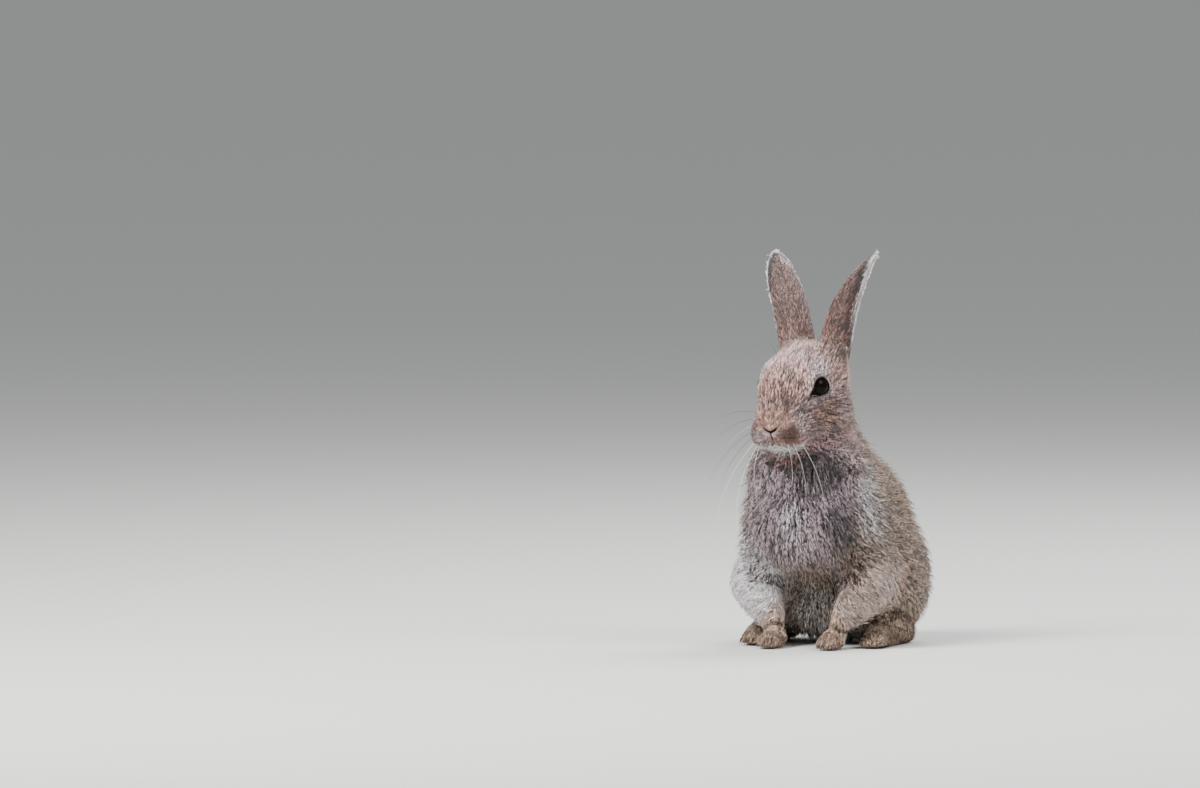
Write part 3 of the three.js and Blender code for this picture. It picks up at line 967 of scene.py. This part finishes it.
# Per part: length, width and clump spacing in mm, tufts per square millimetre, how far
# tips gather into clumps, and how much the direction wanders, in radians.
COAT = {
    "head": (3.9, 0.42, 1.9, 4.8, 0.6, 0.15), "neck": (8, 0.45, 2.5, 5.8, 0.60, 0.18),
    "trunk": (8, 0.45, 2.5, 5.6, 0.60, 0.17), "tail": (12, 0.60, 3.0, 2.8, 0.5, 0.30),
    "ear": (2.6, 0.38, 1.7, 4.0, 0.5, 0.18), "thigh": (8, 0.45, 2.5, 5.0, 0.60, 0.17),
    "foreleg": (6.5, 0.50, 2.0, 2.6, 0.55, 0.20), "forepaw": (3, 0.4, 1.5, 3.3, 0.45, 0.2),
    "hind_foot": (3.6, 0.42, 1.6, 2.7, 0.45, 0.2),
}
LENGTH, WIDTH, CLUMP_GAP, DENSITY, CLUMPING = range(5)
random = np.random.default_rng(COAT_SEED)
coat_values = np.hstack([
    by_part(COAT, column, corner_node, edges, 12) for column in range(len(COAT["head"]))
])
room = np.array([coat_tree.find_nearest(point)[3] for point in points])
room = np.maximum(room, LEAST_ROOM_ON_EARS * is_ear)

# The muzzle's hair is the shortest; cheeks and chest carry the longest of their parts.
on_body = (1 - is_head) * (1 - is_ear)
muzzle = smoothstep(26, 3, face[:, 1]) * is_head
chest = on_body * smoothstep(-0.030, -0.055, points[:, 1]) * (
    smoothstep(0.035, 0.050, points[:, 2]))
throat = on_body * smoothstep(0.088, 0.102, points[:, 2])
near_eye = smoothstep(0.006, 0.001, eye_gap) * is_head
hidden = smoothstep(-0.5, -0.85, normals[:, 2]) * smoothstep(0.03, 0.015, points[:, 2])
for where, changes in (
    (muzzle, {LENGTH: -0.55, WIDTH: -0.2}), (below * is_head, {LENGTH: 0.35}),
    (chest, {LENGTH: 0.4, WIDTH: 0.15, DENSITY: -0.4}), (throat, {LENGTH: -0.4, WIDTH: -0.15}),
    (near_eye, {LENGTH: -0.6, WIDTH: -0.3, DENSITY: 1.6}), (hidden, {DENSITY: -0.7}),
):
    for column, change in changes.items():
        coat_values[:, column] *= 1 + change * where
coat_values[:, DENSITY] *= 1 - np.clip(bare * 1.6, 0, 1)
coat_values[:, CLUMPING] += 0.2 * chest - 0.3 * throat
coat_values[:, CLUMP_GAP] += 0.7 * chest - 0.5 * throat
fold_length = 0.9 + 0.9 * np.maximum(fold_gap - 0.8, 0)
coat_values[:, LENGTH] = np.where(
    is_head > 0.5, np.minimum(coat_values[:, LENGTH], fold_length), coat_values[:, LENGTH]
)
coat_values[np.isin(lid_row, range(LID_ROWS, 2 * LID_ROWS)), DENSITY] = 0
for side in SIDES:
    coat_values[in_opening(points, side, 0.3), DENSITY] = 0

skin_tree = BVHTree.FromPolygons(points.tolist(), triangles.tolist())
corner_a, corner_b, corner_c = (points[triangles[:, i]] for i in range(3))
areas = np.linalg.norm(np.cross(corner_b - corner_a, corner_c - corner_a), axis=1) / 2 * 1e6
tufts_wanted = areas * coat_values[triangles, DENSITY].mean(1)


def settle(places):
    """The nearest places on the skin, and a corner beside each."""
    hits = [skin_tree.find_nearest(place) for place in places]
    return np.array([hit[0] for hit in hits]), triangles[[hit[2] for hit in hits], 0]


def turned(directions, normals, angles):
    """Directions turned in the surface."""
    across = np.cross(normals, directions)
    return directions * np.cos(angles)[:, None] + across * np.sin(angles)[:, None]


# A spike's faces by how many places it runs through.
SPIKE_FACES = {
    2: np.array([(0, 1, 2), (0, 2, 3), (2, 1, 3), (1, 0, 3)]),
    3: np.array([
        (0, 1, 2), (0, 2, 5), (0, 5, 3), (2, 1, 4), (2, 4, 5), (1, 0, 3), (1, 3, 4),
        (3, 5, 6), (5, 4, 6), (4, 3, 6),
    ]),
}


def spikes(ends, width, across, upward):
    """Closed three-sided spikes through the places in ends, pointed at the last."""
    corners = []
    for place, share in zip(ends[:-1], (1,) if len(ends) == 2 else (0.8, 1)):
        half = across * (width * share / 2)[:, None]
        ridge = upward * (width * share * 0.45)[:, None]
        corners += [place - half, place + half, place + ridge]
    corners = np.stack(corners + [ends[-1]], axis=1)
    starts = np.arange(len(corners)) * corners.shape[1]
    return corners, (starts[:, None, None] + SPIKE_FACES[len(ends)]).reshape(-1, 3)


def grow_coat(name, chosen, bent, material, density=1, stretch=1, lift=0.9, stand=None):
    """One piece of coat over the chosen faces. Tufts with a stand leave the skin freely, by
    that share of their length."""
    expected = tufts_wanted * chosen * density
    expected *= min(1, MOST_TUFTS["bent" if bent else "straight"] / expected.sum())
    counts = np.diff(np.floor(np.cumsum(np.append(random.random(), expected)))).astype(int)
    on = np.repeat(np.arange(len(triangles)), counts)
    count = len(on)
    first, second = random.random((2, count))
    fold_over = first + second > 1
    first[fold_over], second[fold_over] = 1 - first[fold_over], 1 - second[fold_over]
    weights = np.column_stack((1 - first - second, first, second))[:, :, None]
    root = (points[triangles[on]] * weights).sum(1)
    corner = triangles[on, 0]
    outward = normals[corner]
    length, width, clump_gap, _, clumping, wander = coat_values[corner].T
    length = length * 0.001 * stretch * random.normal(1, 0.2, count).clip(0.5, 1.6)
    width = width * 0.001 * random.uniform(0.75, 1.25, count)
    angle = random.normal(0, 1, count) * wander
    direction = turned(lie[corner], outward, angle)
    rise = lift * random.normal(1, 0.14, count).clip(0.5, 1.5)
    start = root - outward * ROOT_SINK
    if stand:
        away = random.normal(stand, 0.25 * stand, count)[:, None]
        end = root + unit(direction + outward * away) * length[:, None]
        beside_end = corner
    elif bent:
        middle, beside_middle = settle(root + direction * (length * 0.5)[:, None])
        onward = turned(lie[beside_middle], normals[beside_middle], angle)
        end, beside_end = settle(middle + onward * (length * 0.5)[:, None])
        raised = room[beside_middle] * MIDDLE_RISE * rise
        middle = middle + normals[beside_middle] * raised[:, None]
    else:
        end, beside_end = settle(root + direction * length[:, None])
    end = end + normals[beside_end] * (room[beside_end] * rise)[:, None]

    # Neighbouring tufts close up, side by side, on one of them, and share its tone.
    leaders = max(8, int(areas[expected > 0].sum() / clump_gap.mean() ** 2))
    leader = random.choice(count, min(leaders, count), replace=False)
    seen = start + (end - start) * 0.7
    finder = KDTree(len(leader))
    for number, place in enumerate(seen[leader]):
        finder.insert(place, number)
    finder.balance()
    near = np.array([
        [hit[1] for hit in finder.find_n(place, LEADERS_NEAR)] for place in seen])
    apart = seen[leader[near]] - seen[:, None]
    nearness = dot(apart, apart) - ALONG_EASE * dot(apart, direction[:, None]) ** 2
    led_by = leader[near[np.arange(count), nearness.argmin(1)]]
    pull = (clumping * random.uniform(0.6, 1.2, count))[:, None]
    apart = end[led_by] - end
    apart = (apart - direction * dot(apart, direction)[:, None] * ALONG_HOLD) * pull
    end = end + apart
    on_skin, beside_tip = settle(end)
    sunk = TIP_RISE - dot(end - on_skin, normals[beside_tip])
    end = end + normals[beside_tip] * np.maximum(sunk, 0)[:, None]
    ends = [start, middle + apart * 0.4, end] if bent else [start, end]
    for place in ends[1:]:
        place[:, 2] = np.maximum(place[:, 2], FLOOR_GAP)

    along = unit(end - start)
    across = unit(np.cross(along, outward))
    upward = np.cross(across, along)
    roll = random.normal(0, 0.5, count)[:, None]
    across, upward = (
        across * np.cos(roll) + upward * np.sin(roll),
        upward * np.cos(roll) - across * np.sin(roll),
    )
    corners, faces = spikes(ends, width, across, upward)
    mesh = bpy.data.meshes.new(name)
    mesh.from_pydata(corners.reshape(-1, 3), [], faces)

    # A tuft shows the marking it lies over, more than the one at its root.
    colour = (marking_and_painted_light[triangles[on]] * weights).sum(1) * ROOT_COLOUR
    colour += marking_and_painted_light[beside_end] * (1 - ROOT_COLOUR)
    is_dark = random.random(count) < DARK_CLUMPS
    clump_tone = np.where(is_dark, DARK_TONE, random.normal(PALE_TONE, PALE_SPREAD, count))
    tone = random.normal(0, OWN_SPREAD, count) + clump_tone[led_by]
    size = corners.shape[1]
    height = np.repeat(np.linspace(0, 1, len(ends)), 3)[:size]
    store(mesh, "marking_and_painted_light", "FLOAT_COLOR", np.repeat(colour, size, axis=0))
    store(mesh, "along", "FLOAT", np.tile(height, count))
    store(mesh, "tone", "FLOAT", np.repeat(tone, size))
    sideways = np.append(np.tile((-0.5, 0.5, 0), len(ends) - 1), 0)
    patch_uv = np.column_stack((sideways, height - 0.5)) * PATCH_SIZE
    root_uv = (triangle_uv[on] * weights).sum(1)
    corner_uv = np.clip(root_uv[:, None, :] + patch_uv, 0, 1).reshape(-1, 2)
    layer = mesh.uv_layers.new(name="OFBake")
    layer.uv.foreach_set("vector", corner_uv[faces.ravel()].ravel())
    add_piece(mesh, material)


def coat_material(name, slate, tip_lift, contrast, ticking, darkest, lean):
    """Banded hair: dark at the root, its own colour above, tips lifted or darkened. Flecks
    of dark-tipped hairs, a little wider than ticking and longer, lean back by an angle."""
    fur = new_material(name)
    mark_and_painted_light, along, tone = (
        add_node(fur, "Attribute", attribute_name=field)
        for field in ("marking_and_painted_light", "along", "tone")
    )
    root_share = add_node(
        fur, "MapRange", {"From Min": 0.12, "From Max": 0.62}, {"Value": (along, "Fac")},
        interpolation_type="SMOOTHSTEP")
    root_colour = add_node(
        fur, "Mix", {"Factor": 1.0, "B": linear(slate)}, {"A": (mark_and_painted_light, "Color")},
        data_type="RGBA", blend_type="MULTIPLY")
    banded = add_node(
        fur, "Mix", None,
        {"Factor": (root_share, "Result"), "A": (root_colour, "Result"), "B": (mark_and_painted_light, "Color")},
        data_type="RGBA")
    brightness = add_node(
        fur, "MapRange",
        {"From Min": -2.2, "From Max": 2.2, "To Min": 1 - contrast,
         "To Max": 1 + 0.8 * contrast},
        {"Value": (tone, "Fac")})
    tip_share = add_node(
        fur, "MapRange",
        {"From Min": 0.55, "From Max": 0.95, "To Min": 1.0, "To Max": tip_lift},
        {"Value": (along, "Fac")}, interpolation_type="SMOOTHSTEP")
    lifted = add_node(
        fur, "Math", None, {0: (brightness, "Result"), 1: (tip_share, "Result")},
        operation="MULTIPLY")
    place = add_node(fur, "TexCoord")
    leaning = add_node(
        fur, "Mapping",
        {"Rotation": (math.radians(lean), 0, 0), "Scale": (ticking, ticking, ticking * 2.6)},
        {"Vector": (place, "Object")}, vector_type="TEXTURE")
    flecks = add_node(
        fur, "TexNoise", {"Scale": 1, "Detail": 1.5, "Roughness": 0.6},
        {"Vector": (leaning, "Vector")})
    fleck_share = add_node(
        fur, "MapRange",
        {"From Min": 0.42, "From Max": 0.56, "To Min": darkest, "To Max": 1.4},
        {"Value": (flecks, "Fac")}, interpolation_type="SMOOTHSTEP")
    ticked = add_node(
        fur, "Math", None, {0: (lifted, "Value"), 1: (fleck_share, "Result")},
        operation="MULTIPLY")
    colour = add_node(
        fur, "VectorMath", None, {0: (banded, "Result"), "Scale": (ticked, "Value")},
        operation="SCALE")
    held = add_node(
        fur, "VectorMath", {1: (0.9, 0.9, 0.9)}, {0: (colour, "Vector")},
        operation="MINIMUM")
    shader = add_node(
        fur, "BsdfPrincipled",
        {"Roughness": 0.62, "IOR": 1.5, "Sheen Weight": 0.15, "Sheen Roughness": 0.5},
        {"Base Color": (held, "Vector")})
    add_node(fur, "OutputMaterial", links={"Surface": (shader, "BSDF")})
    return fur


body_fur = coat_material("banded body fur", "#6b6266", 1.4, 0.72, 0.00125, 0.1, 35)
leg_fur = coat_material("pale leg fur", "#e2dadd", 1.4, 0.3, 0.0012, 0.9, 20)
short_fur = coat_material("short ticked fur", "#7a6a66", 1.35, 0.72, 0.0010, 0.15, -25)
ear_fur = coat_material("short ear fur", "#9c8a86", 1.35, 0.72, 0.0009, 0.15, 0)
rim_fur = coat_material("white rim hair", "#e6e2e0", 1.1, 0.2, 0.02, 1.1, 0)
face_part = corner_node[triangles[:, 0]]
face_middle = points[triangles].mean(1)
is_chest = chest[triangles[:, 0]] > 0.5


def on_parts(*parts):
    return of_part(face_part, *parts) > 0


left_half = face_middle[:, 0] > 0
behind = face_middle[:, 1] > 0.012
torso = on_parts("trunk", "neck") & ~is_chest
outer_ear = on_parts("ear")
for side in SIDES:
    share, across, inside, rim_gap, axes = ear_place(face_middle, side)
    outer_ear &= ~((face_part == FLESH.index(f"ear_{side}")) & (inside > 0.5))
BENT_COATS = ("chest", "forelegs", "tail")
HALVES = (("_left", left_half), ("_right", ~left_half))
WHOLE = (("", True),)
for part, halves, chosen, slot, material in (
    ("head", HALVES, on_parts("head"), "body_coat", short_fur),
    ("ear", HALVES, outer_ear, "ear_coat", ear_fur),
    ("ear_linings", WHOLE, on_parts("ear") & ~outer_ear, "ear_coat", rim_fur),
    ("chest", WHOLE, on_parts("trunk", "neck") & is_chest, "body_coat", body_fur),
    ("shoulder", HALVES, torso & ~behind, "body_coat", body_fur),
    ("rump", HALVES, torso & behind, "body_coat", body_fur),
    ("thighs", WHOLE, on_parts("thigh"), "body_coat", body_fur),
    ("forelegs", WHOLE, on_parts("foreleg"), "body_coat", leg_fur),
    ("paws", WHOLE, on_parts("forepaw", "hind_foot"), "paw_coat", short_fur),
    ("tail", WHOLE, on_parts("tail"), "tail_coat", body_fur),
):
    for ending, half in halves:
        grow_coat(f"coat_{part}{ending}", chosen & half, part in BENT_COATS, material)

# Longer guard hairs stand a little off the body and break its outline.
trunk_like = on_parts("trunk", "neck", "thigh", "foreleg")
grow_coat("coat_guard_front", trunk_like & ~behind, True, body_fur,
          density=0.05, stretch=1.35, lift=1.45)
grow_coat("coat_guard_back", trunk_like & behind, True, body_fur,
          density=0.04, stretch=1.3, lift=1.4)

# White hairs fringe the rims of the ears, and soft hairs hang from chin and jaw.
at_rim = np.zeros(len(triangles), dtype=bool)
for side in SIDES:
    share, across, inside, rim_gap, axes = ear_place(face_middle, side)
    mine = face_part == FLESH.index(f"ear_{side}")
    if side == "left":
        mine &= (across > 0) | (share > 0.86)
    at_rim |= mine & (rim_gap < 1.5) & (share > 0.22)
grow_coat("coat_ear_fringe", at_rim, False, rim_fur, density=4, stretch=0.9,
          lift=0, stand=0.45)
jaw_place = head_place(face_middle)
at_jaw = on_parts("head") & (jaw_place[:, 1] > 3) & (jaw_place[:, 1] < 22)
at_jaw &= (jaw_place[:, 2] < -9) & (np.abs(jaw_place[:, 0]) < 17)
grow_coat("coat_jaw_fringe", at_jaw, False, rim_fur, density=0.4,
          stretch=1.3, lift=0, stand=0.3)

# ---- Whiskers and brow hairs --------------------------------------------------------
# Long stiff hairs from the whisker pads, a few short ones at brow and cheek. Each is a fine
# tapered tube of keratin, pale or dark, that bends down under its own weight.

HAIR_SIDES = 5
HAIR_RINGS = 14
HAIR_BEND = 26
# The right pad's hairs fan out from level, back and dark above to steep, forward and pale
# below. Lengths in millimetres, from the top one down; angles in degrees.
FAN_KINDS = ["dark", "dark", "fine", "dark", "dark", "pale", "pale", "pale"]
FAN_LENGTHS = [34, 35, 26, 43, 40, 64, 57, 31]
FAN_TOP, FAN_FOOT = Vector((-27.5, -57.5, 135)), Vector((-21, -65, 112.5))
FAN_SLOPE = (10, 88)
FAN_HEADING = (18, -37)
# Single hairs: side, root in the body's frame, heading, slope, length, kind.
SINGLE_HAIRS = [
    (1, (1.5, -72.5, 120), -35, 82, 29, "fine"), (1, (4, -71.5, 120), -13, 77, 38, "fine"),
    (1, (6.5, -70.5, 121), 4, 73, 52, "fine"), (1, (11, -2.5, 143), 40, -46, 12, "fine"),
    (1, (14, -2, 130), 33, 11, 10, "fine"), (-1, (-31.5, -27, 161), 12, -62, 18, "dark"),
    (-1, (-29.5, -25, 162), -5, -70, 12, "dark"),
]


def hair_run(side, root, heading, slope, length):
    """Four places along a hair from the skin outwards, each step steeper than the last."""
    root, corner = settle([Vector(root) / 1000])
    run = [Vector(root[0]) * 1000]
    turn = math.radians(heading)
    for step in (-1, 0, 1):
        down = math.radians(slope + HAIR_BEND * step / 2)
        run.append(run[-1] + length / 3 * Vector((
            side * math.cos(down) * math.cos(turn), math.cos(down) * math.sin(turn),
            -math.sin(down),
        )))
    return run


hair_runs = {"pale": [], "fine": [], "dark": []}
for number, (kind, length) in enumerate(zip(FAN_KINDS, FAN_LENGTHS)):
    share = number / (len(FAN_KINDS) - 1)
    slope = FAN_SLOPE[0] + (FAN_SLOPE[1] - FAN_SLOPE[0]) * share**0.9
    heading = FAN_HEADING[0] + (FAN_HEADING[1] - FAN_HEADING[0]) * share**1.6
    root = FAN_TOP.lerp(FAN_FOOT, share)
    hair_runs[kind].append(hair_run(-1, root, heading, slope, length))
for side, root, heading, slope, length, kind in SINGLE_HAIRS:
    hair_runs[kind].append(hair_run(side, root, heading, slope, length))


def along_run(run, share):
    """A place at a share of a smooth curve through the run's points."""
    run = [np.array(place, float) for place in run]
    run = [2 * run[0] - run[1]] + run + [2 * run[-1] - run[-2]]
    spans = len(run) - 3
    first = min(int(share * spans), spans - 1)
    return curve_between(*run[first : first + 4], share * spans - first)


def tube(bm, run, rings, sides, radius_at):
    """A closed tube along a run in millimetres; radius_at gives its radius at a share."""
    loops = []
    for number in range(rings):
        share = number / (rings - 1)
        place = Vector(along_run(run, share))
        ahead = Vector(along_run(run, min(share + 0.02, 1)))
        behind_it = Vector(along_run(run, max(share - 0.02, 0)))
        turn = (ahead - behind_it).to_track_quat("Z", "Y").to_matrix().to_4x4()
        matrix = Matrix.Scale(0.001, 4) @ Matrix.Translation(place) @ turn
        ring = bmesh.ops.create_circle(
            bm, cap_ends=number in (0, rings - 1), segments=sides, radius=radius_at(share),
            matrix=matrix,
        )["verts"]
        loops.append(list({
            edge for vert in ring for edge in vert.link_edges
            if edge.verts[0] in ring and edge.verts[1] in ring
        }))
    for loop, following in zip(loops, loops[1:]):
        bmesh.ops.bridge_loops(bm, edges=loop + following)


def plain_material(name, colour, inputs):
    """One colour all over, for what is too thin or too plain to show a pattern."""
    material = new_material(name)
    shader = add_node(material, "BsdfPrincipled", {"Base Color": linear(colour), **inputs})
    add_node(material, "OutputMaterial", links={"Surface": (shader, "BSDF")})
    return material


# Keratin: smooth, a little glossy; white ones catch the light, dark ones are near black.
for kind, radius, colour in (
    ("pale", 0.17, "#f4f2ee"), ("fine", 0.12, "#dedad6"), ("dark", 0.13, "#2b2523"),
):
    name = f"whiskers_{kind}"
    bm = bmesh.new()
    for run in hair_runs[kind]:
        run = [run[0] + (run[0] - run[1]) * 0.2] + run
        tube(bm, run, HAIR_RINGS, HAIR_SIDES, lambda share: radius * (1 - 0.8 * share))
    bmesh.ops.recalc_face_normals(bm, faces=bm.faces)
    keratin = plain_material(f"{name} keratin", colour, {"Roughness": 0.35, "IOR": 1.55})
    add_piece(mesh_from(bm, name), keratin)

# ---- Claws --------------------------------------------------------------------------
# Four small dark claws on each foot: narrow curved cones of horn that come out between the
# hairs of the toes and point forwards and down.

CLAW_RINGS = 7
CLAW_SIDES = 10
# Per foot: side of its middle, toe spread, y and height of the toe tips, claw length.
CLAW_SETS = {
    "forepaws": (18, 4.83, -57.6, 2.9, 4.4), "hind_feet": (36.5, 5.76, -35, 3.2, 5),
}
# Horn: dense and smooth, with fine dark streaks along its growth.
claw_look = new_material("dark horn")
place = add_node(claw_look, "TexCoord")
streaks = add_node(
    claw_look, "TexNoise", {"Scale": 1200, "Detail": 2}, {"Vector": (place, "Object")})
horn = add_node(claw_look, "ValToRGB", links={"Fac": (streaks, "Fac")})
for element, colour in zip(horn.color_ramp.elements, ("#2c221e", "#57473f")):
    element.color = linear(colour)
shader = add_node(
    claw_look, "BsdfPrincipled", {"Roughness": 0.35, "IOR": 1.54},
    {"Base Color": (horn, "Color")})
add_node(claw_look, "OutputMaterial", links={"Surface": (shader, "BSDF")})
for name, (aside, spread, tip_y, tip_z, length) in CLAW_SETS.items():
    bm = bmesh.new()
    for sign in (-1, 1):
        for toe in (-1, -1 / 3, 1 / 3, 1):
            x = sign * aside + toe * spread
            y = tip_y + abs(toe) * spread * 0.5
            run = [(x, y + 1.6, tip_z + 0.5), (x, y - length * 0.45, tip_z + 0.6),
                   (x, y - length, tip_z - 1.9)]
            tube(bm, run, CLAW_RINGS, CLAW_SIDES, lambda share: 0.95 - 0.8 * share**1.4)
    bmesh.ops.recalc_face_normals(bm, faces=bm.faces)
    add_piece(mesh_from(bm, f"claws_{name}"), claw_look)

# ---- Floor, light and finish --------------------------------------------------------
# A wide, pale, matt studio floor under even, soft light from above and in front.

FLOOR_RADIUS = 30
SUBJECT = Vector((0, -0.02, 0.12))
# Azimuth, elevation, distance, width of the lamp in metres, watts and colour.
LIGHTS = {
    "key": (-26, 46, 1.6, 0.7, 46, "#fffdfb"), "fill": (70, 38, 1.8, 1.0, 20, "#fafbff"),
    "rim": (165, 55, 1.6, 1.0, 26, "#ffffff"),
}
bm = bmesh.new()
bmesh.ops.create_circle(bm, cap_ends=True, segments=96, radius=FLOOR_RADIUS)
floor = add_object("floor", mesh_from(bm, "floor"))
floor.data.materials.append(plain_material("matt pale floor", "#d9d9d6", {"Roughness": 0.9}))

world = bpy.data.worlds.new("studio")
world.use_nodes = True
background = world.node_tree.nodes["Background"]
background.inputs["Color"].default_value = linear("#e6e9ec")
background.inputs["Strength"].default_value = 0.5
bpy.context.scene.world = world

for name, (azimuth, elevation, distance, size, power, colour) in LIGHTS.items():
    lamp = bpy.data.lights.new(name, "AREA")
    lamp.shape = "DISK"
    lamp.size = size
    lamp.energy = power
    lamp.color = linear(colour)[:3]
    aim_at(add_object(name, lamp), SUBJECT, towards(azimuth, elevation), distance)
